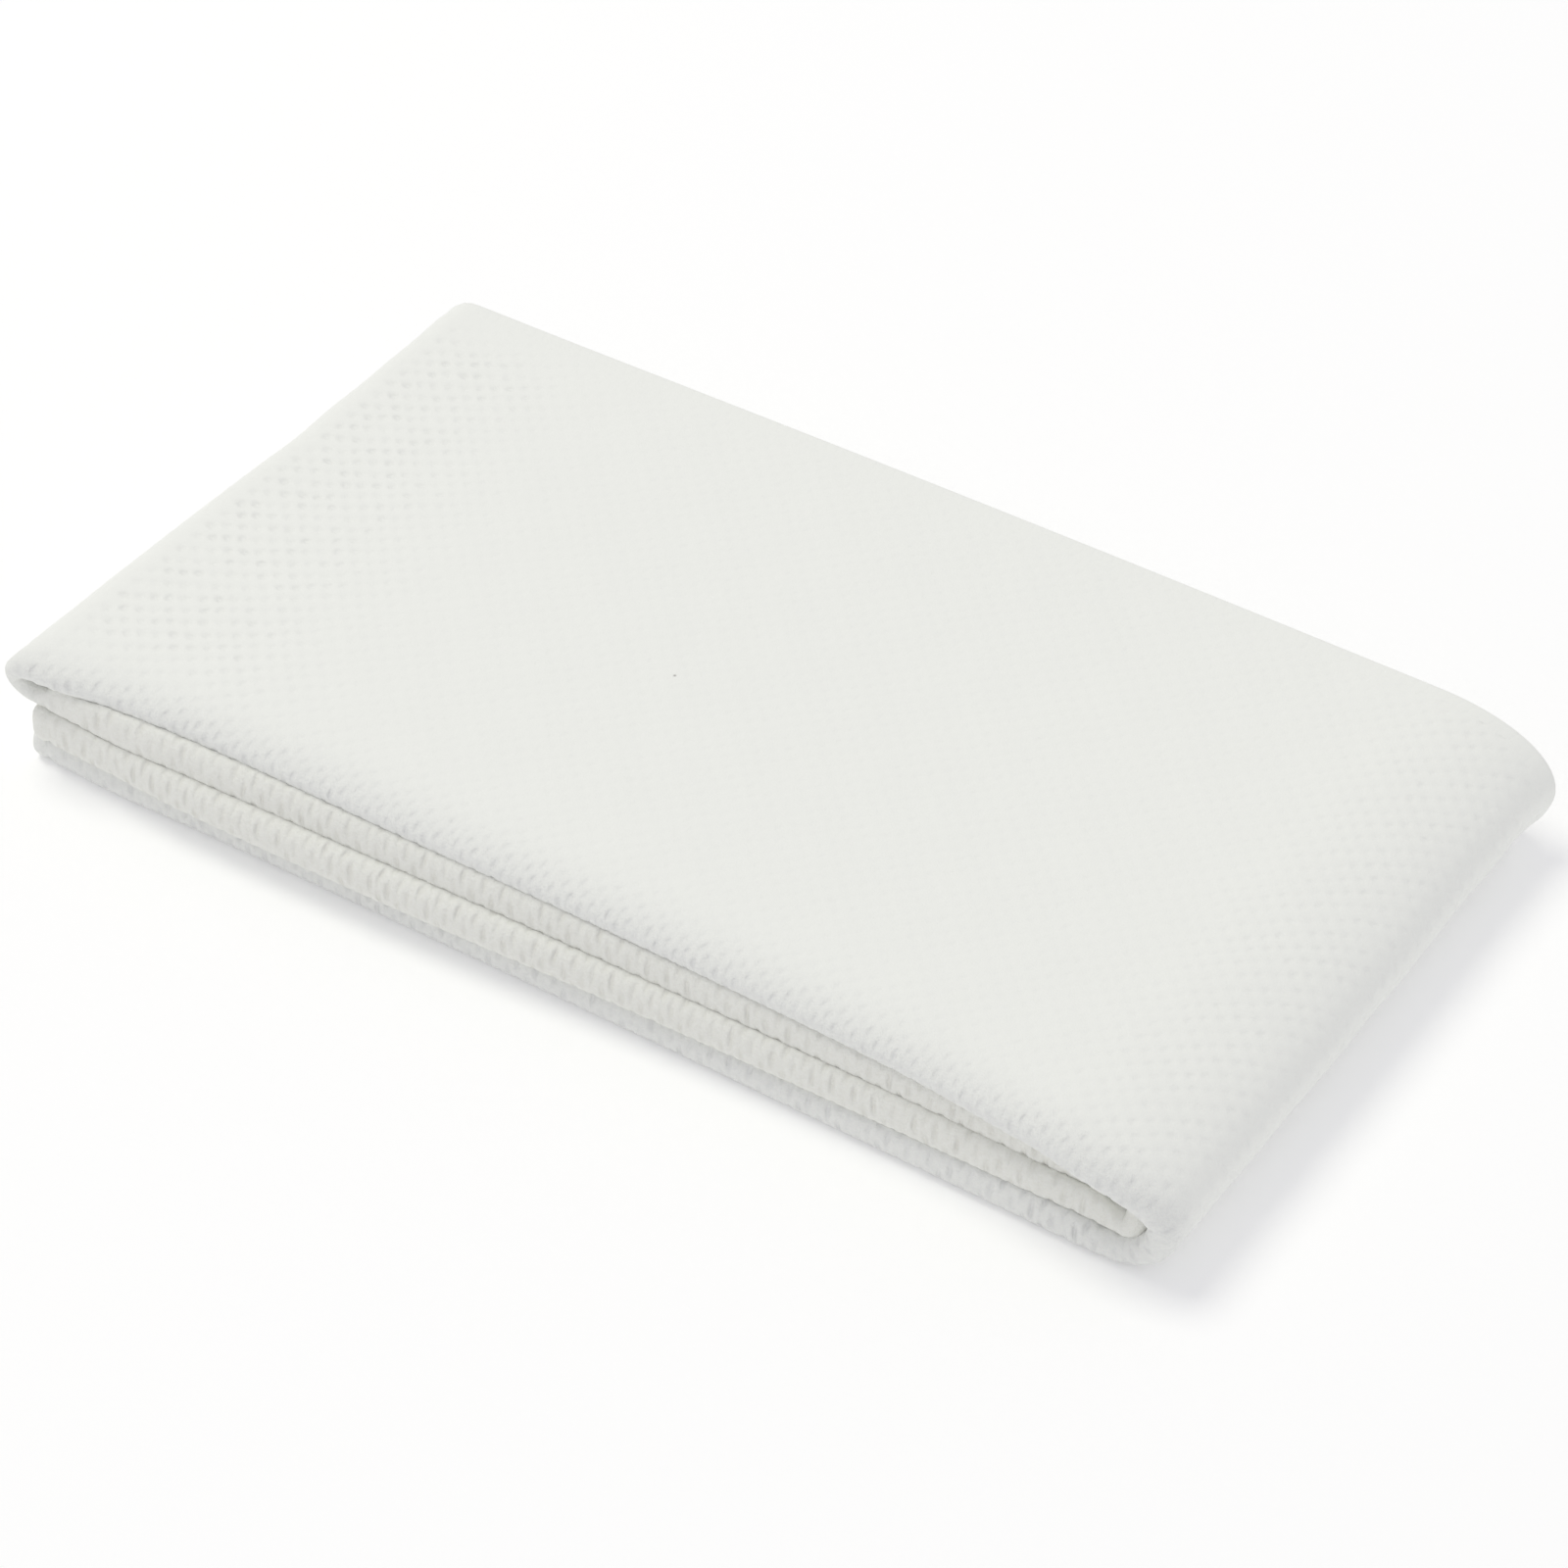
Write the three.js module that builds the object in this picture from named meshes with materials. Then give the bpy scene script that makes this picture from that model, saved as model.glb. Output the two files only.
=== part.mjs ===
// A folded sports towel: one length of thick white dimpled knit, folded in half along its length
// and then twice across it, so that eight plies lie in a flat pile.
// X runs along the pile, Y from its folded front edges to its loose back edges, Z up from the table.

import * as THREE from "three";

// Driving sizes, in millimetres
const PILE_LENGTH = 258.8; // from the left loop to the right fold
const PILE_WIDTH = 145.7; // from the front line to the back line
const PILE_HEIGHT = 25.5; // eight plies and the air between them
const PLY = 2.85; // the lofty knit, pressed by its own weight
const PLY_AIR = 0.35; // between the two plies of a strip

// The pile is a stack of four strips. Each strip is two plies joined by the fold along the front.
const STRIP = 2 * PLY + PLY_AIR;
const HALF_STRIP = STRIP / 2;
const STRIP_STEP = (PILE_HEIGHT - STRIP) / 3;

// Each strip's place in the pile, counted from the table, and its two ends: their x, how far the
// middle line rises there, and what share of the thickness is pressed out
const STRIPS = {
  bottom: { place: 0, left: { x: 5, rise: 0, press: 0 }, right: { x: 243, rise: 0, press: 0 } },
  lower: { place: 1, left: { x: 8, rise: 0.5, press: -0.06 }, right: { x: 246, rise: -0.64, press: 0.22 } },
  upper: { place: 2, left: { x: 6, rise: 0.75, press: 0.27 }, right: { x: 246, rise: -2.06, press: 0.22 } },
  top: { place: 3, left: { x: 6, rise: 0.82, press: 0.24 }, right: { x: 230, rise: 0, press: 0 } },
};
const END_REACH = 18; // how far from an end its rise and press fade away

// Where the runs end: x of each bend's tip on the middle line, how far it bulges past the run that
// comes in and the run that goes out, and how far up between them its tip lies
const OUTER_FOLD = { tip: PILE_LENGTH - HALF_STRIP, bulgeIn: 10.5, bulgeOut: 25, tipShare: 0.48 };
const LEFT_LOOP = { tip: 2.4, bulgeIn: 4.1, bulgeOut: 5.0, tipShare: 0.48 };
const INNER_FOLD = { tip: 248.6, bulgeIn: 2.45, bulgeOut: 2.45, tipShare: 0.5 };
const BOTTOM_END = 4.0; // x of the loose end of the bottom strip
const LOWER_END = 6.6; // x of the loose end of the lower strip

// The hem of a loose end, a rounded bead with a groove behind it: share of the thickness pressed out
// at a distance from the end
const HEM = [
  { from: 0, press: 0.42 },
  { from: 0.5, press: 0.14 },
  { from: 1.6, press: 0 },
  { from: 2.8, press: 0.04 },
  { from: 3.6, press: 0.16 },
  { from: 4.6, press: 0.03 },
  { from: 6, press: 0 },
];

// How far each strip's folded front edge lies behind the front line, by share of the pile's length
const FRONT_EDGE = [
  { at: 0.0, bottom: 1.2, lower: -0.9, upper: -0.9, top: -2.7 },
  { at: 0.04, bottom: 0.7, lower: -1.2, upper: -1.0, top: -2.0 },
  { at: 0.1, bottom: 0.0, lower: -1.7, upper: -0.8, top: 1.3 },
  { at: 0.17, bottom: 0.3, lower: -2.6, upper: 0.0, top: 2.8 },
  { at: 0.35, bottom: 0.5, lower: -2.4, upper: 0.9, top: 2.7 },
  { at: 0.55, bottom: 0.4, lower: -0.9, upper: 1.6, top: 2.6 },
  { at: 0.77, bottom: -0.2, lower: -0.2, upper: 1.6, top: 1.0 },
  { at: 0.88, bottom: -0.6, lower: 0.0, upper: 1.5, top: -2.0 },
  { at: 0.94, bottom: -0.9, lower: 0.2, upper: 1.9, top: -4.0 },
  { at: 1.0, bottom: -0.2, lower: 0.4, upper: 1.9, top: -2.4 },
];

// How far each strip's two loose back edges stop short of the back line: the ply on the outer side
// of the pile's folds, the ply on their inner side, how much more both do so at the right, and how
// far both bow out halfway
const BACK_EDGE = {
  bottom: { outer: 1.8, inner: 3.4, skew: 0.8, bow: 0.6 },
  lower: { outer: 3.2, inner: 1.6, skew: -0.9, bow: 0.9 },
  upper: { outer: 2.2, inner: 3.8, skew: 1.1, bow: 0.5 },
  top: { outer: 0.5, inner: 2.6, skew: 0.0, bow: 1.1 },
};

// How far the pile's two short ends lie further right than their straight lines, by share of its
// width: both draw in a little towards the middle, and the right fold's back corner stands out
const END_BOW = [
  { at: 0.0, left: 0.0, right: -0.3 },
  { at: 0.35, left: 0.3, right: -0.5 },
  { at: 0.6, left: 1.1, right: -0.9 },
  { at: 0.8, left: 0.5, right: -1.5 },
  { at: 0.96, left: 0.0, right: -1.2 },
  { at: 1.0, left: -0.2, right: 1.1 },
];
const BOW_REACH = 40; // how far from an end its bow fades away

// Soft troughs and swells that run through the whole pile: centre, half length, half width,
// turn from X in degrees, and rise of the top ply
const SOFT_FORMS = [
  { x: 135, y: 95, long: 95, wide: 22, turn: -12, rise: -0.7 },
  { x: 60, y: 60, long: 60, wide: 40, turn: 20, rise: 0.4 },
  { x: 205, y: 60, long: 50, wide: 45, turn: -30, rise: -0.4 },
];

// Steps of the mesh
const STEPS = { run: 12, wideBend: 7, tightBend: 5, ply: 8, front: 8 };
const CLOSER_AT_EDGE = 1.5; // 1 spaces the steps across a ply evenly, more sets them closer at its back edge

// A value from a table's column at a place, on a smooth curve through the rows.
function alongTable(rows, place, column, where) {
  const last = rows.length - 1;
  const s = Math.min(Math.max(where, rows[0][place]), rows[last][place]);
  let i = 0;
  while (i < last - 1 && s > rows[i + 1][place]) i += 1;
  const slopeAt = (k) => {
    const a = rows[Math.max(k - 1, 0)];
    const b = rows[Math.min(k + 1, last)];
    return (b[column] - a[column]) / (b[place] - a[place]);
  };
  const span = rows[i + 1][place] - rows[i][place];
  const t = (s - rows[i][place]) / span;
  const rise = t * t * (3 - 2 * t);
  const ease = t * (1 - t) * span;
  const value = rows[i][column] * (1 - rise) + rows[i + 1][column] * rise;
  return value + ease * ((1 - t) * slopeAt(i) - t * slopeAt(i + 1));
}

// The strip's cross-section at a place along the pile: height of its middle line, half its
// thickness, and the y of its front fold and of its two back edges.
function sectionOf(strip, x) {
  const { place, left, right } = STRIPS[strip];
  const share = x / PILE_LENGTH;
  const atLeft = Math.exp(-((Math.max(x - left.x, 0) / END_REACH) ** 2));
  const atRight = Math.exp(-((Math.max(right.x - x, 0) / END_REACH) ** 2));
  const press = left.press * atLeft + right.press * atRight;
  const rise = left.rise * atLeft + right.rise * atRight;
  const back = BACK_EDGE[strip];
  const backLine = PILE_WIDTH - back.skew * share + back.bow * Math.sin(Math.PI * share);
  return {
    z: HALF_STRIP + place * STRIP_STEP + rise,
    half: HALF_STRIP * (1 - press),
    front: alongTable(FRONT_EDGE, "at", strip, share),
    outer: backLine - back.outer,
    inner: backLine - back.inner,
  };
}

// One station of the strip's middle line: its place, the direction across it, and its section.
function stationAt(x, z, alongX, alongZ, section) {
  const size = Math.hypot(alongX, alongZ);
  return { ...section, x, z, sideX: -alongZ / size, sideZ: alongX / size };
}

// A straight run of a strip, with closer stations where it begins or ends in a hem.
function runOf(strip, fromX, toX, hemAt = null) {
  const ahead = Math.sign(toX - fromX);
  const hemDepth = HEM[HEM.length - 1].from;
  const places = [];
  if (hemAt === "start") for (const row of HEM.slice(0, -1)) places.push(fromX + ahead * row.from);
  const plainFrom = hemAt === "start" ? fromX + ahead * hemDepth : fromX;
  const plainTo = hemAt === "end" ? toX - ahead * hemDepth : toX;
  for (let i = 0; i <= STEPS.run; i += 1) places.push(plainFrom + ((plainTo - plainFrom) * i) / STEPS.run);
  if (hemAt === "end") for (const row of HEM.slice(0, -1).reverse()) places.push(toX - ahead * row.from);
  return places.map((x) => {
    const section = sectionOf(strip, x);
    if (hemAt) {
      const fromEnd = Math.abs(x - (hemAt === "start" ? fromX : toX));
      section.half *= 1 - alongTable(HEM, "from", "press", fromEnd);
    }
    const slope = (sectionOf(strip, x + ahead).z - sectionOf(strip, x - ahead).z) / 2;
    return stationAt(x, section.z, ahead, slope, section);
  });
}

// A bend from one strip to another: two quarter ellipses that meet at the bend's tip.
function bendOf(fromStrip, toStrip, bend, steps) {
  const outwards = bend.tip > PILE_LENGTH / 2 ? 1 : -1;
  const fromZ = sectionOf(fromStrip, bend.tip - outwards * bend.bulgeIn).z;
  const toZ = sectionOf(toStrip, bend.tip - outwards * bend.bulgeOut).z;
  const tipZ = fromZ + (toZ - fromZ) * bend.tipShare;
  const stations = [];
  for (let i = 1; i < 2 * steps; i += 1) {
    const angle = (Math.PI * (i / steps - 1)) / 2;
    const bulge = outwards * (i < steps ? bend.bulgeIn : bend.bulgeOut);
    const climb = i < steps ? tipZ - fromZ : toZ - tipZ;
    const x = bend.tip - bulge * (1 - Math.cos(angle));
    const z = tipZ + climb * Math.sin(angle);
    const share = (1 + Math.sin(angle)) / 2;
    const from = sectionOf(fromStrip, x);
    const to = sectionOf(toStrip, x);
    const section = {};
    for (const name of Object.keys(from)) section[name] = from[name] * (1 - share) + to[name] * share;
    stations.push(stationAt(x, z, -bulge * Math.sin(angle), climb * Math.cos(angle), section));
  }
  return stations;
}

// The whole strip, from its loose bottom end to its loose lower end.
function stripStations() {
  return [
    ...runOf("bottom", BOTTOM_END, OUTER_FOLD.tip - OUTER_FOLD.bulgeIn, "start"),
    ...bendOf("bottom", "top", OUTER_FOLD, STEPS.wideBend),
    ...runOf("top", OUTER_FOLD.tip - OUTER_FOLD.bulgeOut, LEFT_LOOP.tip + LEFT_LOOP.bulgeIn),
    ...bendOf("top", "upper", LEFT_LOOP, STEPS.tightBend),
    ...runOf("upper", LEFT_LOOP.tip + LEFT_LOOP.bulgeOut, INNER_FOLD.tip - INNER_FOLD.bulgeIn),
    ...bendOf("upper", "lower", INNER_FOLD, STEPS.tightBend),
    ...runOf("lower", INNER_FOLD.tip - INNER_FOLD.bulgeOut, LOWER_END, "end"),
  ];
}

// How far a place is drawn to the right by the bow of the nearer short end.
function bowAt(x, y) {
  const share = y / PILE_WIDTH;
  const atLeft = Math.exp(-((x / BOW_REACH) ** 2));
  const atRight = Math.exp(-(((PILE_LENGTH - x) / BOW_REACH) ** 2));
  return alongTable(END_BOW, "at", "left", share) * atLeft + alongTable(END_BOW, "at", "right", share) * atRight;
}

// How much thicker the pile is at a place, as a share of its height.
function swellAt(x, y) {
  let rise = 0;
  for (const form of SOFT_FORMS) {
    const turn = THREE.MathUtils.degToRad(form.turn);
    const along = (x - form.x) * Math.cos(turn) + (y - form.y) * Math.sin(turn);
    const across = (y - form.y) * Math.cos(turn) - (x - form.x) * Math.sin(turn);
    rise += form.rise * Math.exp(-((along / form.long) ** 2) - (across / form.wide) ** 2);
  }
  return rise / PILE_HEIGHT;
}

// One skin of the hairpin section at a station, from the outer ply's back edge round the front fold
// to the inner ply's back edge, at a distance from the strip's middle line.
function skinOf(place, distance) {
  const turnAt = place.front + HALF_STRIP;
  const fromEdge = (i) => (i / STEPS.ply) ** CLOSER_AT_EDGE;
  const points = [];
  for (let i = 0; i < STEPS.ply; i += 1) {
    points.push([place.outer + (turnAt - place.outer) * fromEdge(i), -distance]);
  }
  for (let i = 0; i <= STEPS.front; i += 1) {
    const angle = (Math.PI * i) / STEPS.front - Math.PI / 2;
    points.push([turnAt - distance * Math.cos(angle), distance * Math.sin(angle)]);
  }
  for (let i = STEPS.ply - 1; i >= 0; i -= 1) {
    points.push([place.inner + (turnAt - place.inner) * fromEdge(i), distance]);
  }
  return points.map(([y, side]) => {
    const x = place.x + place.sideX * side;
    const z = place.z + place.sideZ * side;
    return [x + bowAt(x, y), y, z * (1 + swellAt(x, y))];
  });
}

// The towel as one closed surface: rings of outer and inner skin, joined along the strip and capped.
function towelGeometry() {
  const rings = stripStations().map((place) => [
    ...skinOf(place, place.half),
    ...skinOf(place, PLY_AIR / 2).reverse(),
  ]);
  const around = rings[0].length;
  const lastRing = (rings.length - 1) * around;
  const index = [];
  const quad = (a, b, c, d) => index.push(a, b, c, a, c, d);
  for (let here = 0; here < lastRing; here += around) {
    for (let i = 0; i < around; i += 1) {
      const j = (i + 1) % around;
      quad(here + i, here + around + i, here + around + j, here + j);
    }
  }
  for (let i = 0; i + 1 < around / 2; i += 1) {
    const across = around - 1 - i;
    quad(i, i + 1, across - 1, across);
    quad(lastRing + i, lastRing + across, lastRing + across - 1, lastRing + i + 1);
  }
  const geometry = new THREE.BufferGeometry();
  geometry.setAttribute("position", new THREE.Float32BufferAttribute(rings.flat(2), 3));
  geometry.setIndex(index);
  geometry.computeVertexNormals();
  return geometry;
}

// The origin is under the middle of the pile, on the table.
const geometry = towelGeometry();
geometry.computeBoundingBox();
const middle = geometry.boundingBox.getCenter(new THREE.Vector3());
geometry.translate(-middle.x, -middle.y, 0);

const knit = new THREE.MeshStandardMaterial({ color: 0xf1f2ee, roughness: 0.95, metalness: 0 });
const towel = new THREE.Mesh(geometry, knit);
towel.name = "towel";

const sportsTowel = new THREE.Group();
sportsTowel.add(towel);

export default sportsTowel;
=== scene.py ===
# A folded sports towel of thick dimpled white knit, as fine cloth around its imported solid.

import math
import bpy
import numpy as np
from mathutils import Matrix, Vector


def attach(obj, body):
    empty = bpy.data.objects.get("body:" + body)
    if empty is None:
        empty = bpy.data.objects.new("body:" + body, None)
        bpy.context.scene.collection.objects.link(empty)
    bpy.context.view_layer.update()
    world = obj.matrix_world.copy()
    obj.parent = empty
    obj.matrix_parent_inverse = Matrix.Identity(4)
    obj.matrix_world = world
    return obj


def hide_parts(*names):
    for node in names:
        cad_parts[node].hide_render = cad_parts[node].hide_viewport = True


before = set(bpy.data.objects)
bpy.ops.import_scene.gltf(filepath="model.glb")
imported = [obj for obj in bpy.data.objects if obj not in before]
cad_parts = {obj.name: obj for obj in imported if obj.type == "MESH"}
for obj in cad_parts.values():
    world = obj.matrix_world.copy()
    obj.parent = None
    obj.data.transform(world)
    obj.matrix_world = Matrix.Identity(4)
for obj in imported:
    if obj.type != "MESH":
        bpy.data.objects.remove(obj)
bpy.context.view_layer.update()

# THE TOWEL
# One length of lofty white knit, folded in half along its length with the fold in front, then folded back
# and forth into four double strips: bottom, outer fold, top, left loop, upper, inner fold, lower. Its cut
# edges are overlocked. Millimetres: X from the pile's left end, Y from its front line, Z up from the table.

# The pile, the thickness of one ply, and the air between the two plies of a strip
PILE_LENGTH = 258.8
PILE_WIDTH = 145.7
PILE_HEIGHT = 25.5
PLY = 2.85
PLY_AIR = 0.35
HALF_STRIP = PLY + PLY_AIR / 2
STRIP_STEP = (PILE_HEIGHT - 2 * HALF_STRIP) / 3
MILLIMETRE = 0.001

# Where the part's own origin lies in these millimetres
PART_ORIGIN = (129.604, 71.2535, 0.0)

# Each strip's place in the pile and, at its left and right end, the x from which its middle line rises or
# drops and its thickness is pressed out, how far it rises, and the share pressed out
STRIPS = {
    "bottom": {"place": 0, "left": (5, 0, 0), "right": (243, 0, 0)},
    "lower": {"place": 1, "left": (8, 0.5, -0.06), "right": (246, -1.1, 0.2)},
    "upper": {"place": 2, "left": (6, 0.75, 0.27), "right": (246, -2.06, 0.22)},
    "top": {"place": 3, "left": (6, 0.82, 0.24), "right": (230, 0, 0)},
}
END_REACH = 18

# The bends: x of the tip of the middle line, how far it bulges past the run that comes in and the run that
# goes out, and the share of the way between them at which the tip lies. Then x of the two loose ends.
OUTER_FOLD = {"tip": PILE_LENGTH - HALF_STRIP, "bulge_in": 10.5, "bulge_out": 25.0, "tip_share": 0.48}
LEFT_LOOP = {"tip": 2.4, "bulge_in": 4.1, "bulge_out": 5.0, "tip_share": 0.48}
INNER_FOLD = {"tip": 249.9, "bulge_in": 2.6, "bulge_out": 2.1, "tip_share": 0.5}
BOTTOM_END = 4.0
LOWER_END = 6.6

# How far each strip's folded front edge lies behind the front line, by share of the pile's length
FRONT_EDGE = {
    "at":     (0.0, 0.04, 0.1, 0.17, 0.35, 0.55, 0.77, 0.88, 0.94, 1.0),
    "bottom": (1.2, 0.7, 0.0, 0.3, 0.5, 0.4, -0.2, -0.6, -0.9, -0.2),
    "lower":  (-0.9, -1.2, -1.7, -2.6, -2.4, -0.9, -0.2, 0.0, 0.1, -2.0),
    "upper":  (-0.9, -1.0, -0.8, 0.0, 0.9, 1.6, 1.6, 1.5, 1.8, -1.0),
    "top":    (-2.7, -2.0, 1.3, 2.8, 2.7, 2.6, 1.0, -2.0, -4.0, -2.4),
}

# How far each strip's loose back edges stop short of the back line: outer ply, inner ply, how much more
# both do so at the right, and how far both bow out halfway
BACK_EDGE = {
    "bottom": (1.8, 3.4, 2.6, 0.6),
    "lower": (3.2, 1.6, -0.9, 0.9),
    "upper": (2.2, 3.8, 1.1, 0.5),
    "top": (0.5, 2.6, 0.0, 1.1),
}

# How far the two short ends lie further right than straight lines, by share of the pile's width
END_BOW = {
    "at":    (0.0, 0.35, 0.6, 0.8, 0.96, 1.0),
    "left":  (0.0, 0.3, 1.1, 0.5, 0.0, -0.2),
    "right": (-0.3, -0.5, -0.9, -1.5, -1.0, 2.2),
}
BOW_REACH = 40

# Soft troughs and swells through the whole pile: centre x and y, half length, half width, turn from X in
# degrees, and rise of the top
SOFT_FORMS = (
    (135, 95, 95, 22, -12, -0.7),
    (60, 60, 60, 40, 20, 0.4),
    (205, 60, 50, 45, -30, -0.4),
)

# The overlocked hem: a rounded bead wrapped in thread. At the loose ends a groove lies behind it, where the
# thread draws the loft down. Along the back edge the groove is faint.
HEM = {
    "from":      (0.0, 0.15, 0.5, 1.1, 2.0, 2.9, 3.6, 4.1, 4.8, 5.8, 7.0),
    "loose end": (0.08, 0.42, 0.70, 0.90, 0.99, 0.95, 0.76, 0.70, 0.84, 0.96, 1.0),
    "back edge": (0.08, 0.42, 0.70, 0.88, 0.96, 0.96, 0.94, 0.94, 0.96, 0.98, 1.0),
}
HEM_DEPTH = 7.0

# The knit: dimples where two families of slanting lines cross, so many lines to a millimetre. The steep ones
# are pulled askew where the cloth leaves the loop. On the front folds the dimples are drawn out to slots.
# Each has its own share of the depth, scrambled from the numbers of its lines.
LINES_ALONG = 0.234
LINES_ACROSS = 0.222
LOOP_PULL = 0.12
LOOP_GATHER = 0.016
LOOP_PULL_REACH = 50
DIMPLE_DEPTH = 0.36
SLOT_DEPTH = 0.27
FOLD_LEAD = 2.3
FOLD_REACH = 8
SHALLOWEST, DEPTH_SPREAD = 0.7, 0.6
SCRAMBLE = (12.9898, 78.233, 43758.5453)
PIT_POWERS = (0.8, 1.3)
SLOT_POWERS = (0.3, 0.5)

# How plainly the dimples show: over the whole cloth, and how much more in a field near the left end, towards
# the right end and on the front folds. How much less at the bends, where the cloth is stretched. The field
# has a margin on three sides, and then fades in over some millimetres.
PLAINNESS = {"cloth": 0.24, "left field": 0.86, "right end": 0.3, "front fold": 0.5}
STRETCHED = {"top front": 0.3, "loop": 0.7, "inner fold": 0.85}
LEFT_FIELD = {"reach": 52, "slant": 0.14, "left": (4, 5), "front": (8, 12), "back": (8, 10)}
RIGHT_END_REACH = 28
OUTER_FOLD_REACH = 45
FRONT_REACH = 8.5
LOOP_REACH = 12
LOOP_FACE, LOOP_FADE = 8, 6
INNER_FOLD_REACH = 11

# Slanting waves: height, radians per millimetre along and across the strip, and start. Two pairs let the
# lines of the knit stray, in lines, and four unsettle the surface, in millimetres, but for a margin at the
# front, the hidden strips and the hem's thread.
FIRST_STRAY = ((0.05, 0.41, 0.23, 0), (0.035, 0.67, -0.52, 1))
SECOND_STRAY = ((0.05, 0.36, -0.31, 2), (0.035, 0.59, 0.61, 3))
SLOW_WAVES = (
    (0.05, 0.131, 0.21, 0.6),
    (0.04, 0.283, -0.17, 2.1),
    (0.03, 0.407, 0.33, 4.0),
    (0.05, 0.077, -0.29, 1.3),
)
SLOW_MARGIN, SLOW_FADE = 6, 12
SLOW_PAST_LOOP = 20
THREAD_WIDTH, THREAD_FADE = 4.2, 2

# The loft under each strip presses into it and swells up in front of its fold. Where two strips touch, their
# front folds are fuller than a half round, by the power of their curve, which is 2 for a circle. The top
# strip's front shoulder is sunk a little.
FULLNESS_ABOVE = 3.2
FULLNESS_BELOW = 2.4
LOFT_PRESS = 0.6
LOFT_REACH = 7
SWELL = 0.8
SWELL_REACH = 1.8
SHOULDER_DROP = 1.0
SHOULDER_REACH = 9
STRIP_FADE = 20
BETWEEN_AT_LOOP = 0.6
FAR_FROM_EDGE = 99

# Steps of the mesh: four rows to a line on the front fold, two of them on the shown cloth, and six columns
# to a line. On the plies that lie hidden in the pile both are wide. The shown cloth begins a little before
# the outer fold and ends a little past the loop.
PATH_POINTS_TO_MM = 10
BEND_POINTS = 400
SHOWN_BEFORE_FOLD = 4
SHOWN_PAST_LOOP = 6
ROWS_PER_LINE = 4
COLUMN_STEP = 1 / (6 * LINES_ACROSS)
FOLD_FLAT = 3.0
FOLD_FLAT_COLUMNS = 4
FOLD_COLUMNS = 11
HEM_STEP = 0.7
BEND_STEP = 1.8
WIDE_STEP = 9.0
WIDE_COLUMNS = 11
INSIDE_FOLD_COLUMNS = 3
HEM_COLUMNS = (0.0, 0.12, 0.4, 0.9, 1.6, 2.4, 3.1, 3.7, 4.3, 5.2, HEM_DEPTH)
INSIDE_HEM_COLUMNS = (0.12, 0.9, 3.7, HEM_DEPTH)


def along(table, column, where, place="at"):
    """A column's value at a place: a cubic between the rows, with the slope at each row that of the chord
    between its neighbours."""
    at = np.array(table[place], float)
    value = np.array(table[column], float)
    low = np.maximum(np.arange(len(at)) - 1, 0)
    high = np.minimum(np.arange(len(at)) + 1, len(at) - 1)
    slope = (value[high] - value[low]) / (at[high] - at[low])
    s = np.clip(where, at[0], at[-1])
    i = np.clip(np.searchsorted(at, s, side="left") - 1, 0, len(at) - 2)
    span = at[i + 1] - at[i]
    t = (s - at[i]) / span
    rise = t * t * (3 - 2 * t)
    ease = t * (1 - t) * span
    return value[i] * (1 - rise) + value[i + 1] * rise + ease * ((1 - t) * slope[i] - t * slope[i + 1])


def bell(distance, reach, power=2):
    """A bell curve: e to the minus square of distance over reach, so 1 at no distance. Power 4 in place of
    the square gives it a flat top and steep sides."""
    return np.exp(-((distance / reach) ** power))


def ramp(value, start, length):
    """From 0 at a start to 1 a length further on, in a straight line, and level beyond both."""
    return np.clip((value - start) / length, 0, 1)


def section_of(strip, px):
    """Height of the strip's middle line, half its thickness, and the y of its front fold and of its outer
    and inner back edges. Rise and press fade away from each end as a bell curve."""
    left_x, left_rise, left_press = STRIPS[strip]["left"]
    right_x, right_rise, right_press = STRIPS[strip]["right"]
    outer_short, inner_short, skew, bow = BACK_EDGE[strip]
    share = px / PILE_LENGTH
    at_left = bell(np.maximum(px - left_x, 0), END_REACH)
    at_right = bell(np.maximum(right_x - px, 0), END_REACH)
    middle = HALF_STRIP + STRIPS[strip]["place"] * STRIP_STEP + left_rise * at_left + right_rise * at_right
    thick = HALF_STRIP * (1 - left_press * at_left - right_press * at_right)
    back = PILE_WIDTH - skew * share + bow * np.sin(np.pi * share)
    front_edge = along(FRONT_EDGE, strip, share)
    return np.stack([middle, thick, front_edge, back - outer_short, back - inner_short])


def run_of(strip, from_x, to_x):
    """A straight run in small steps: x, and the strip's section there."""
    px = np.linspace(from_x, to_x, int(abs(to_x - from_x) * PATH_POINTS_TO_MM))
    return np.vstack([px, section_of(strip, px)])


def bend_of(from_strip, to_strip, bend):
    """Two quarter ellipses that meet at the bend's tip. The section goes over from one strip's to the
    other's with the sine of the angle."""
    outwards = 1 if bend["tip"] > PILE_LENGTH / 2 else -1
    start = section_of(from_strip, np.array([bend["tip"] - outwards * bend["bulge_in"]]))[0, 0]
    end = section_of(to_strip, np.array([bend["tip"] - outwards * bend["bulge_out"]]))[0, 0]
    tip = start + (end - start) * bend["tip_share"]
    angle = np.linspace(-np.pi / 2, np.pi / 2, BEND_POINTS)[1:-1]
    first = angle < 0
    bulge = outwards * np.where(first, bend["bulge_in"], bend["bulge_out"])
    climb = np.where(first, tip - start, end - tip)
    px = bend["tip"] - bulge * (1 - np.cos(angle))
    share = (1 + np.sin(angle)) / 2
    section = section_of(from_strip, px) * (1 - share) + section_of(to_strip, px) * share
    section[0] = tip + climb * np.sin(angle)
    return np.vstack([px, section])


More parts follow.
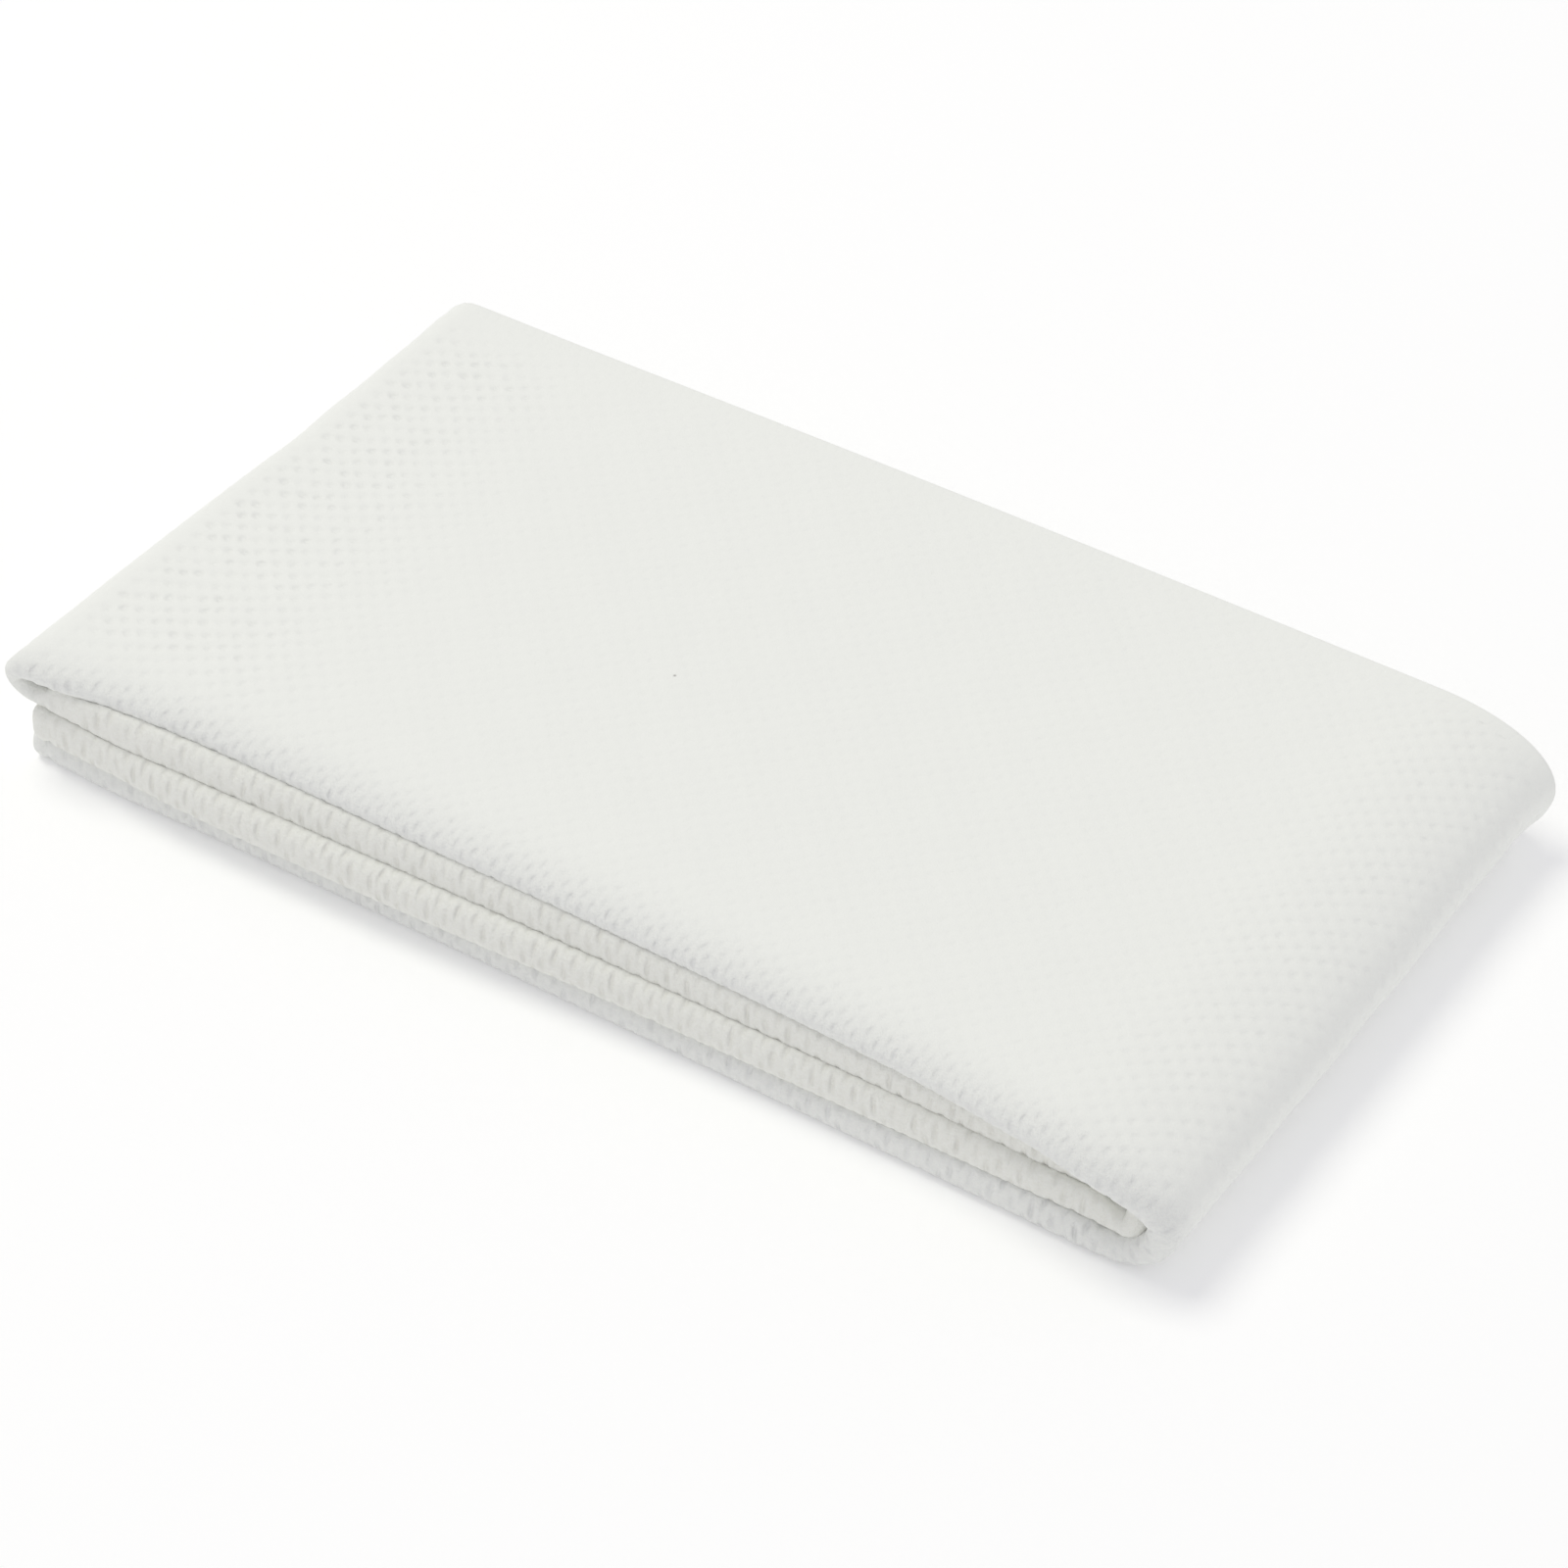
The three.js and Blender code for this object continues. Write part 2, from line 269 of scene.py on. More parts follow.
stretches = [
    run_of("bottom", BOTTOM_END, OUTER_FOLD["tip"] - OUTER_FOLD["bulge_in"]),
    bend_of("bottom", "top", OUTER_FOLD),
    run_of("top", OUTER_FOLD["tip"] - OUTER_FOLD["bulge_out"], LEFT_LOOP["tip"] + LEFT_LOOP["bulge_in"]),
    bend_of("top", "upper", LEFT_LOOP),
    run_of("upper", LEFT_LOOP["tip"] + LEFT_LOOP["bulge_out"], INNER_FOLD["tip"] - INNER_FOLD["bulge_in"]),
    bend_of("upper", "lower", INNER_FOLD),
    run_of("lower", INNER_FOLD["tip"] - INNER_FOLD["bulge_out"], LOWER_END),
]
path = np.hstack(stretches)
path_at = np.concatenate([[0], np.cumsum(np.hypot(np.diff(path[0]), np.diff(path[1])))])
strip_length = path_at[-1]
outer_fold_from, outer_fold_to, loop_from, loop_to, inner_fold_from, inner_fold_to = (
    path_at[np.cumsum([stretch.shape[1] for stretch in stretches])[:-1] - 1]
)

# Two families of lines, counted along the strip. The steep ones are pulled askew near the left loop.
gather = bell(path_at - (loop_from + loop_to) / 2, LOOP_PULL_REACH)
plain_count = np.cumsum((LINES_ALONG + LOOP_GATHER * gather) * np.diff(path_at, prepend=0))
steep_count = np.cumsum((LINES_ALONG - LOOP_PULL * gather) * np.diff(path_at, prepend=0))

# Rows lie across the strip. All of them cross its front fold, the wide ones also the hidden plies.
row_count = np.arange(0, plain_count[-1] + steep_count[-1], 1 / ROWS_PER_LINE)
knit_rows = np.interp(row_count, plain_count + steep_count, path_at)
knit_rows = knit_rows[(knit_rows > HEM_DEPTH) & (knit_rows < strip_length - HEM_DEPTH)]
hem_rows = np.arange(0, HEM_DEPTH, HEM_STEP / 2)
row_at = np.concatenate([hem_rows, knit_rows, strip_length - hem_rows[::-1]])
all_rows = np.arange(len(row_at))
on_dimples = np.round(np.interp(row_at, path_at, plain_count + steep_count) * ROWS_PER_LINE) % 2 == 0
on_shown = (row_at > outer_fold_from - SHOWN_BEFORE_FOLD) & (row_at < loop_to + SHOWN_PAST_LOOP)
shown_rows = all_rows[on_dimples & on_shown]
first_shown, last_shown = shown_rows[[0, -1]]
wide_at = np.concatenate([
    np.arange(0, HEM_DEPTH, HEM_STEP),
    np.arange(HEM_DEPTH, strip_length - HEM_DEPTH, WIDE_STEP),
    np.arange(outer_fold_from, outer_fold_to, BEND_STEP),
    np.arange(loop_from, loop_to, BEND_STEP),
    np.arange(inner_fold_from, inner_fold_to, BEND_STEP),
    strip_length - np.arange(0, HEM_DEPTH, HEM_STEP),
])
wide_rows = np.unique(np.concatenate([
    np.abs(row_at[:, None] - wide_at).argmin(axis=0),
    [0, first_shown - 1, first_shown, last_shown, last_shown + 1, len(row_at) - 1],
]))
before, after = wide_rows[wide_rows < first_shown], wide_rows[wide_rows > last_shown]

x, z, half, front, outer, inner = (np.interp(row_at, path_at, line) for line in path)
plain_lines, steep_lines = (np.interp(row_at, path_at, count) for count in (plain_count, steep_count))
ahead_x, ahead_z = (np.interp(row_at, path_at, np.gradient(line, path_at)) for line in path[:2])
side_x, side_z = -ahead_z / np.hypot(ahead_x, ahead_z), ahead_x / np.hypot(ahead_x, ahead_z)
turn_at = front + HALF_STRIP
from_end = np.minimum(row_at, strip_length - row_at)

# Where each strip touches its neighbours: on its inner side everywhere but at the bends, and on its outer
# side in the upper and lower strips. The loft of a strip rises to the one above: the inner side of the bottom
# and upper strips, and the outer side of the lower one, because the strips lie on alternate faces.
bends = (outer_fold_from, outer_fold_to), (loop_from, loop_to), (inner_fold_from, inner_fold_to)
from_bend = np.min([np.maximum(start - row_at, row_at - end) for start, end in bends], axis=0)
inner_touch = ramp(from_bend, 0, LOFT_REACH)
inner_touch = inner_touch * inner_touch * (3 - 2 * inner_touch)
outer_touch = inner_touch * (row_at > loop_to)
on_bottom, on_lower = row_at < outer_fold_from, row_at > inner_fold_to
on_upper = (row_at > loop_to) & (row_at < inner_fold_from)
rises_inner = on_bottom | on_upper
inner_rise, outer_rise, front_above = np.zeros((3, len(row_at)))
half_above = np.full(len(row_at), HALF_STRIP)
for strip, above, rise, touch, on_strip in (
    ("bottom", "lower", inner_rise, inner_touch, on_bottom),
    ("upper", "top", inner_rise, inner_touch, on_upper),
    ("lower", "upper", outer_rise, outer_touch, on_lower),
):
    middle_above, half_above[on_strip], front_above[on_strip] = section_of(above, x[on_strip])[:3]
    gap = middle_above - half_above[on_strip] - (z[on_strip] + half[on_strip])
    rise[on_strip] = (np.maximum(gap, 0) + LOFT_PRESS) * touch[on_strip]

# Shares from 0 to 1: on the top strip, and on the two strips that lie between the others
on_top = ramp(np.minimum(row_at - outer_fold_to, loop_from - row_at), 0, STRIP_FADE)
# The second makes the finish's painted shade warmer on those strips, for light bounced between them
between = np.clip((row_at - loop_to) / STRIP_FADE + BETWEEN_AT_LOOP, 0, 1)


def lift(rows, ply, y):
    """How far a ply's outside stands over the plain strip: the loft's rise, plus its swell, less the sunken
    shoulder. The swell follows the round underside of the fold above up to its full height, and fades away in
    front of it as a bell curve. The shoulder fades away behind the fold as a bell curve."""
    rise, touch = (inner_rise, inner_touch) if ply == "inner" else (outer_rise, outer_touch)
    touch = touch * (rises_inner if ply == "inner" else on_lower)
    behind = y - front_above[rows, None]
    share = 1 - (behind / half_above[rows, None]).clip(0, 1)
    under_side = half_above[rows, None] * (1 - (1 - share ** FULLNESS_BELOW) ** (1 / FULLNESS_BELOW))
    swell = np.minimum(under_side, SWELL * bell(np.minimum(behind, 0), SWELL_REACH))
    shoulder = SHOULDER_DROP * on_top[rows, None] * (ply == "outer")
    shoulder = shoulder * bell((y - turn_at[rows, None]).clip(0), SHOULDER_REACH)
    return rise[rows, None] + swell * touch[rows, None] - shoulder


def waves(table, s, across):
    """A sum of slanting sines at a place on the strip."""
    return sum(height * np.sin(on * s + over * across + start) for height, on, over, start in table)


def knit_lines(rows, across):
    """How many lines of each family lie between the strip's first corner and a place: along plus across,
    and along less across, both straying by up to a twelfth of a line."""
    s = row_at[rows, None]
    first = plain_lines[rows, None] + LINES_ACROSS * across + waves(FIRST_STRAY, s, across)
    return first, steep_lines[rows, None] - LINES_ACROSS * across + waves(SECOND_STRAY, s, across)


def on_front_fold(rows, y):
    """From 1 on the front folds to 0 some 15 mm behind them, as a bell curve."""
    return bell((y - front[rows, None] + FOLD_LEAD).clip(0), FOLD_REACH)


def crispness(rows, y):
    """How plainly the dimples show: most on the front folds and in a field near the left end, less towards
    the right end, and least in the middle, where the top cloth lies taut. Each is a bell curve or a flat one
    with steep sides, and the field also fades out at its margins."""
    px, s = x[rows, None], row_at[rows, None]
    left = bell(px, LEFT_FIELD["reach"] - LEFT_FIELD["slant"] * y, 4)
    left = left * ramp(px, *LEFT_FIELD["left"]) * ramp(y, *LEFT_FIELD["front"])
    left = left * ramp(PILE_WIDTH - y, *LEFT_FIELD["back"])
    right = bell(PILE_LENGTH - px, RIGHT_END_REACH, 4)
    on_outer_fold = (s > outer_fold_from) * (s < loop_from)
    on_outer_fold = bell(PILE_LENGTH - px, OUTER_FOLD_REACH) * on_outer_fold
    on_loop = (s > loop_from - LOOP_REACH) & (s < loop_to + LOOP_REACH)
    on_loop = ramp(LOOP_FACE - px, 0, LOOP_FADE) * on_loop
    on_inner_fold = bell(s - (inner_fold_from + inner_fold_to) / 2, INNER_FOLD_REACH)
    front_fold = bell(y - front[rows, None], FRONT_REACH) * (1 - on_outer_fold)
    front_fold = front_fold * (1 - STRETCHED["top front"] * on_top[rows, None])
    plain = PLAINNESS["cloth"] + PLAINNESS["left field"] * left + PLAINNESS["right end"] * right
    plain = plain + PLAINNESS["front fold"] * front_fold
    return plain * (1 - STRETCHED["loop"] * on_loop) * (1 - STRETCHED["inner fold"] * on_inner_fold)


def relief(rows, across, from_edge, y):
    """Height of the surface over the plain ply: the dimples and the slow waves, which both fade out under the
    hem's thread. A dimple is a product of one raised cosine per family of lines, each to a power, and has its
    own depth, a scramble of its two line numbers. A slot has a third cosine, of both families together."""
    first, second = knit_lines(rows, across)
    by_first, by_second, by_both = (
        0.5 + 0.5 * np.cos(2 * np.pi * lines) for lines in (first, second, first + second)
    )
    pits = by_first ** PIT_POWERS[0] * by_second ** PIT_POWERS[1]
    slots = by_first ** SLOT_POWERS[0] * by_second ** SLOT_POWERS[1] * by_both
    scramble = np.sin(SCRAMBLE[0] * np.round(first) + SCRAMBLE[1] * np.round(second)) * SCRAMBLE[2]
    own_depth = SHALLOWEST + DEPTH_SPREAD * (scramble - np.floor(scramble))
    fold = on_front_fold(rows, y)
    dimples = own_depth * (DIMPLE_DEPTH * pits * (1 - fold) + SLOT_DEPTH * slots * fold)
    free = ramp(y, SLOW_MARGIN, SLOW_FADE) * (row_at < loop_to + SLOW_PAST_LOOP)[rows, None]
    clear = ramp(np.minimum(from_edge, from_end[rows, None]), THREAD_WIDTH, THREAD_FADE)
    slow = waves(SLOW_WAVES, row_at[rows, None], across)
    return clear * (slow * free - crispness(rows, y) * dimples)


def placed(rows, y, side):
    """Points at y and at a distance beside the strip's middle line. The bow of each short end fades away from
    it as a bell curve, and each soft form raises or lowers the pile by a bell curve in two directions."""
    px = x[rows, None] + side_x[rows, None] * side
    pz = z[rows, None] + side_z[rows, None] * side
    share = y / PILE_WIDTH
    bow = (
        along(END_BOW, "left", share) * bell(px, BOW_REACH)
        + along(END_BOW, "right", share) * bell(PILE_LENGTH - px, BOW_REACH)
    )
    swell = 0
    for form_x, form_y, long, wide, turn, rise in SOFT_FORMS:
        c, s = np.cos(np.radians(turn)), np.sin(np.radians(turn))
        lengthwise = (px - form_x) * c + (y - form_y) * s
        crosswise = (y - form_y) * c - (px - form_x) * s
        swell = swell + rise * np.exp(-((lengthwise / long) ** 2) - (crosswise / wide) ** 2)
    return np.stack([px + bow, y + 0 * px, pz * (1 + swell / PILE_HEIGHT)], axis=-1)


def loft_of(rows, from_edge):
    """Half a ply's thickness, times the hem's profile at the back edge and the one at the loose end."""
    by_edge = along(HEM, "back edge", from_edge, "from")
    by_end = along(HEM, "loose end", from_end[rows], "from")[:, None]
    return (half[rows, None] - PLY_AIR / 2) / 2 * by_edge * by_end


def ply_skin(rows, ply, hem_columns, columns, outside, knitted):
    """A ply's outside or inside, from its back edge to the front fold: half the ply's thickness away from
    the ply's middle. Even columns follow the hem's own. Also gives each point's distance across the cloth
    and from the back edge."""
    edge = (outer if ply == "outer" else inner)[rows, None]
    flat = edge - turn_at[rows, None] - FOLD_FLAT - HEM_DEPTH
    from_edge = np.hstack([
        np.repeat([hem_columns], len(rows), axis=0),
        HEM_DEPTH + flat * np.arange(1, columns)[None, :] / columns,
    ])
    y = edge - from_edge
    across = PILE_WIDTH - y
    if ply == "inner":
        across = PILE_WIDTH - 2 * turn_at[rows, None] + np.pi * half[rows, None] + y
    side = (half[rows, None] + PLY_AIR / 2) / 2 + loft_of(rows, from_edge) * (1 if outside else -1)
    if outside:
        side = side + lift(rows, ply, y)
    if knitted:
        side = side + relief(rows, across, from_edge, y)
    return placed(rows, y, -side if ply == "outer" else side), across, from_edge


def fold_skin(rows, flat_columns, columns, outside):
    """The front fold's outside or inside, with a few millimetres of flat ply at both sides of it: a round
    about the strip's middle line. Where strips touch, it is a superellipse, so squarer than a circle."""
    turn = np.linspace(0, 1, columns + 1)
    flat = np.arange(1, flat_columns + 1) / flat_columns * FOLD_FLAT
    behind = np.concatenate([flat[::-1], 0 * turn, flat])[None, :]
    angle = np.concatenate([0 * flat, turn, 0 * flat + 1])[None, :] * np.pi - np.pi / 2
    arc = np.pi * half[rows, None] * (angle / np.pi + 0.5)
    across = PILE_WIDTH - turn_at[rows, None] + arc + behind * np.sign(angle)
    from_edge = FAR_FROM_EDGE + 0 * across
    middle = (half[rows, None] + PLY_AIR / 2) / 2
    radius = middle + loft_of(rows, from_edge) * (1 if outside else -1)
    forward, upward = np.cos(angle).clip(0), np.sin(angle)
    if outside:
        touch = np.where(angle < 0, outer_touch[rows, None], inner_touch[rows, None])
        touch = touch * (row_at > outer_fold_from)[rows, None]
        facing_up = (angle > 0) == rises_inner[rows, None]
        power = 2 + (np.where(facing_up, FULLNESS_ABOVE, FULLNESS_BELOW) - 2) * touch
        squarer = (forward ** power + np.abs(upward) ** power) ** (-1 / power)
        forward, upward = forward * squarer, upward * squarer
        y = turn_at[rows, None] + behind - radius * forward
        radius = radius + relief(rows, across, from_edge, y)
        rise = np.where(angle < 0, lift(rows, "outer", y), lift(rows, "inner", y))
        upward = upward * (1 + rise / radius)
    return placed(rows, turn_at[rows, None] + behind - radius * forward, radius * upward), across, from_edge


points, quads, triangles = [], [], []
knit_uv, hem_uv = [], []
crisp, fold_share, warm_shade_share = [], [], []


def add_skin(rows, skin, mirrored=False):
    """Adds a grid's points and quads, with what the finish reads at each: the knit's lines, the distance
    along the nearest edge and from it, how plainly the dimples show, and how far the place is on a front fold
    or between the strips. Returns the grid of the points' numbers."""
    place, across, from_edge = (part[:, ::-1] for part in skin) if mirrored else skin
    end = from_end[rows, None] + 0 * across
    along_edge = np.where(end < from_edge, across, row_at[rows, None])
    number = sum(len(part) for part in points) + np.arange(across.size).reshape(across.shape)
    points.append(place.reshape(-1, 3))
    crisp.append(crispness(rows, place[..., 1]).ravel())
    fold_share.append(on_front_fold(rows, place[..., 1]).ravel())
    warm_shade_share.append((between[rows, None] + 0 * across).ravel())
    knit_uv.append(np.stack(knit_lines(rows, across), axis=-1).reshape(-1, 2))
    hem_uv.append(np.stack([along_edge, np.minimum(end, from_edge)], axis=-1).reshape(-1, 2))
    add_quads(number)
    return number


def add_quads(number):
    """The quads between the neighbouring points of a grid."""
    corners = number[:-1, :-1], number[:-1, 1:], number[1:, 1:], number[1:, :-1]
    quads.append(np.stack([corner.ravel() for corner in corners][::-1], axis=-1))


def stitch(left, left_at, right, right_at):
    """Closes the band between two lines of points with triangles. Going along both, each step is joined to
    the other line's point that has been reached at the middle of that step."""
    left_step = (left_at[:-1] + left_at[1:]) / 2
    right_step = (right_at[:-1] + right_at[1:]) / 2
    reached_right = right[np.searchsorted(right_step, left_step, side="left")]
    reached_left = left[np.searchsorted(left_step, right_step, side="right")]
    triangles.append(np.stack([left[:-1], left[1:], reached_right], axis=-1))
    triangles.append(np.stack([right[:-1], reached_left, right[1:]], axis=-1))


shown_columns = int((PILE_WIDTH - HEM_DEPTH - HALF_STRIP - FOLD_FLAT) / COLUMN_STEP)
shown = add_skin(shown_rows, ply_skin(shown_rows, "outer", HEM_COLUMNS, shown_columns, True, True))
plies_outside = [
    add_skin(rows, ply_skin(rows, "outer", HEM_COLUMNS, WIDE_COLUMNS, True, False))
    for rows in (before, after)
]
fold = add_skin(all_rows, fold_skin(all_rows, FOLD_FLAT_COLUMNS, FOLD_COLUMNS, True))
inner_outside = ply_skin(wide_rows, "inner", HEM_COLUMNS, WIDE_COLUMNS, True, False)
inner_outside = add_skin(wide_rows, inner_outside, True)
inner_inside = ply_skin(wide_rows, "inner", INSIDE_HEM_COLUMNS, WIDE_COLUMNS, False, False)
inner_inside = add_skin(wide_rows, inner_inside)
fold_inside = add_skin(wide_rows, fold_skin(wide_rows, 1, INSIDE_FOLD_COLUMNS, False), True)
outer_inside = ply_skin(wide_rows, "outer", INSIDE_HEM_COLUMNS, WIDE_COLUMNS, False, False)
outer_inside = add_skin(wide_rows, outer_inside, True)

# The seams between the skins: two by two along the strip, and from fine rows to wide ones
is_shown = (wide_rows >= first_shown) & (wide_rows <= last_shown)
for one, other in ((inner_outside, inner_inside), (inner_inside, fold_inside), (fold_inside, outer_inside)):
    add_quads(np.stack([one[:, -1], other[:, 0]], axis=-1))
stitch(fold[:, -1], row_at, inner_outside[:, 0], row_at[wide_rows])
stitch(outer_inside[is_shown, -1], row_at[wide_rows[is_shown]], shown[:, 0], row_at[shown_rows])
for rows, ply in zip((before, after), plies_outside):
    add_quads(np.stack([outer_inside[np.isin(wide_rows, rows), -1], ply[:, 0]], axis=-1))
for rows, ply in ((before, plies_outside[0]), (shown_rows, shown), (after, plies_outside[1])):
    beside = np.arange(rows[0], rows[-1] + 1)
    stitch(ply[:, -1], row_at[rows], fold[beside, 0], row_at[beside])

# The seams across the outer ply, where its shown cloth begins and ends
wide_share = np.concatenate([HEM_COLUMNS, HEM_DEPTH + np.arange(1, WIDE_COLUMNS + 1)])
shown_share = np.arange(1, shown_columns + 1) * WIDE_COLUMNS / shown_columns
shown_share = np.concatenate([HEM_COLUMNS, HEM_DEPTH + shown_share])
for ply, ply_row, fine, fine_row, flip in (
    (plies_outside[0][-1], first_shown - 1, shown[0], first_shown, 1),
    (plies_outside[1][0], last_shown + 1, shown[-1], last_shown, -1),
):
    lines = [
        (np.concatenate([outer_inside[wide_rows == row, -1], line, fold[row, :1]]), np.append(-1, share))
        for line, row, share in ((ply, ply_row, wide_share), (fine, fine_row, shown_share))
    ]
    (first_line, first_at), (second_line, second_at) = lines[::flip]
    stitch(second_line, second_at, first_line, first_at)

# The two loose ends
for row, flip in ((0, 1), (-1, -1)):
    ply = plies_outside[row]
    outside = np.concatenate([ply[row], fold[row], inner_outside[row]])
    inside = np.concatenate([inner_inside[row], fold_inside[row], outer_inside[row]])[::-1]
    ends = [(line, np.linspace(0, 1, len(line))) for line in (outside, inside)]
    (first_line, first_at), (second_line, second_at) = ends[::flip]
    stitch(first_line, first_at, second_line, second_at)

vertices = (np.vstack(points) - PART_ORIGIN) * MILLIMETRE
faces = np.vstack(quads).tolist() + np.vstack(triangles).tolist()
towel_mesh = bpy.data.meshes.new("towel_cloth")
towel_mesh.from_pydata(vertices.tolist(), [], faces)
corner_vertex = np.empty(len(towel_mesh.loops), dtype=np.int32)
towel_mesh.loops.foreach_get("vertex_index", corner_vertex)
for name, values in (("knit", knit_uv), ("hem", hem_uv)):
    layer = towel_mesh.uv_layers.new(name=name)
    layer.data.foreach_set("uv", np.vstack(values)[corner_vertex].astype(np.float32).ravel())
# The between attribute marks where the painted shade is warmer
for name, values in (("crispness", crisp), ("front_fold", fold_share), ("between", warm_shade_share)):
    layer = towel_mesh.attributes.new(name, "FLOAT", "POINT")
    layer.data.foreach_set("value", np.concatenate(values).astype(np.float32))
towel_mesh.shade_smooth()
towel_mesh.validate()
towel = bpy.data.objects.new("towel_cloth", towel_mesh)
bpy.context.collection.objects.link(towel)

# The knit's finish: dull white yarn with its own faint clouds and fibres, and painted shade in the dimples,
# on the front folds and between the hem's stitches. The painted shade is warmer on the two strips between the
# others, for light that cloth throws on cloth. Its fine dimples deepen the mesh's own. Along each cut edge
# the hem's thread lies in slanting stitches, and on the top there is one fleck of lint. Heights and stitches
# are in millimetres and the lint in metres. A shade is a share of the way from the plain yarn to the shaded
# one: mostly painted shade, with the yarn's own clouds and fibres.
YARN = (0.932, 0.941, 0.901, 1)
# Colours of painted shade: plain, and warmer on the strips between the others, for light bounced between them
YARN_IN_SHADE = (0.77, 0.775, 0.77, 1)
YARN_IN_WARM_SHADE = (0.775, 0.767, 0.705, 1)
LINT = (0.42, 0.41, 0.39, 1)
LINT_AT = (-0.0193, -0.0057, 0.02567)
LINT_REACH = 0.0005
FINE_DIMPLE = 0.22
FINE_SLOT = 0.17
STITCH_HEIGHT = 0.035
STITCH_PITCH = 2.3
STITCH_SLANT = 0.11
THREAD_ENDS = (3.5, 4.1)
FIBRE_HEIGHT = 0.085
FIBRE_SHADE = -0.3
FIBRES_TO_METRE = (1500, 4200)
# Shares of painted shade: in the dimples, in the slots, between the stitches and on the front folds. The
# clouds are the yarn's own tone.
DIMPLE_SHADE = 0.1
SLOT_SHADE = 0.36
STITCH_SHADE = 0.03
FOLD_SHADE = 0.4
CLOUD_SHADE = 0.12
CLOUDS_TO_METRE = 14
WANDER = 0.4
WANDERS_TO_METRE = (130, 190)
FINE_SHALLOWEST, FINE_DEPTH_SPREAD = 0.5, 0.9
FINE_PIT_POWERS = (1.2, 2.0)
FINE_SLOT_POWERS = (0.3, 0.5, 1.5)
STITCH_POWER = 0.6
FIBRES, MORE_ON_FOLD = 0.6, 1.6
ROUGHNESS, ROUGHNESS_SPREAD = 0.9, 0.15

white_knit = bpy.data.materials.new("white_knit")
white_knit.use_nodes = True
tree = white_knit.node_tree
shader = tree.nodes["Principled BSDF"]


def feed(node, *inputs):
    """Sets a node's inputs in order: another node's output is linked, and a number or colour is set."""
    for socket, value in zip(node.inputs, inputs):
        if isinstance(value, bpy.types.NodeSocket):
            tree.links.new(value, socket)
        else:
            socket.default_value = value
    return node.outputs[0]


def sum_of(operation, *inputs):
    """A Math node's result."""
    node = tree.nodes.new("ShaderNodeMath")
    node.operation = operation
    return feed(node, *inputs)


def noise_of(where, scale, detail):
    """Soft noise about zero, of that many spots to a metre."""
    node = tree.nodes.new("ShaderNodeTexNoise")
    node.inputs["Scale"].default_value = scale
    node.inputs["Detail"].default_value = detail
    tree.links.new(where, node.inputs["Vector"])
    return sum_of("SUBTRACT", node.outputs["Fac"], 0.5)


def uv_of(name):
    """The two coordinates of one of the cloth's own UV maps."""
    node = tree.nodes.new("ShaderNodeUVMap")
    node.uv_map = name
    parts = tree.nodes.new("ShaderNodeSeparateXYZ")
    tree.links.new(node.outputs["UV"], parts.inputs["Vector"])
    return parts.outputs["X"], parts.outputs["Y"]


def attribute_of(name):
    """One of the mesh's own numbers at each point."""
    node = tree.nodes.new("ShaderNodeAttribute")
    node.attribute_name = name
    return node.outputs["Fac"]


def smooth_step(value, low, high):
    """From 0 at low to 1 at high, eased at both ends."""
    node = tree.nodes.new("ShaderNodeMapRange")
    node.interpolation_type = "SMOOTHSTEP"
    return feed(node, value, low, high)


def mixed(share, first, second):
    """A colour between two: the first at share 0, the second at 1."""
    node = tree.nodes.new("ShaderNodeMix")
    node.data_type = "RGBA"
    factor = next(socket for socket in node.inputs if socket.name == "Factor" and socket.type == "VALUE")
    colours = [socket for socket in node.inputs if socket.type == "RGBA"]
    tree.links.new(share, factor)
    for socket, colour in zip(colours, (first, second)):
        if isinstance(colour, bpy.types.NodeSocket):
            tree.links.new(colour, socket)
        else:
            socket.default_value = colour
    return next(out for out in node.outputs if out.type == "RGBA")


cloth_at = tree.nodes.new("ShaderNodeTexCoord").outputs["Object"]
first_line, second_line = uv_of("knit")
along_hem, from_hem = uv_of("hem")
plainness, front_fold = attribute_of("crispness"), attribute_of("front_fold")

# Dimples and slots where the lines cross, each of its own depth
first_at, second_at = (
    sum_of("MULTIPLY_ADD", noise_of(cloth_at, wanders, 1), WANDER, line)
    for wanders, line in zip(WANDERS_TO_METRE, (first_line, second_line))
)
by_first, by_second, by_both = (
    sum_of("MULTIPLY_ADD", sum_of("COSINE", sum_of("MULTIPLY", line, 2 * math.pi)), 0.5, 0.5)
    for line in (first_at, second_at, sum_of("ADD", first_at, second_at))
)
cell = tree.nodes.new("ShaderNodeCombineXYZ")
feed(cell, *(sum_of("ROUND", line) for line in (first_line, second_line)))
each = tree.nodes.new("ShaderNodeTexWhiteNoise")
each.noise_dimensions = "2D"
tree.links.new(cell.outputs["Vector"], each.inputs["Vector"])
pit_parts = [sum_of("POWER", *pair) for pair in zip((by_first, by_second), FINE_PIT_POWERS)]
slot_parts = [sum_of("POWER", *pair) for pair in zip((by_first, by_second, by_both), FINE_SLOT_POWERS)]
pits = sum_of("MULTIPLY", *pit_parts)
slots = sum_of("MULTIPLY", sum_of("MULTIPLY", *slot_parts[:2]), slot_parts[2])
dimple = sum_of("MULTIPLY_ADD", sum_of("SUBTRACT", slots, pits), front_fold, pits)
own_depth = sum_of("MULTIPLY_ADD", each.outputs["Value"], FINE_DEPTH_SPREAD, FINE_SHALLOWEST)
dimple = sum_of("MULTIPLY", dimple, sum_of("MULTIPLY", own_depth, plainness))

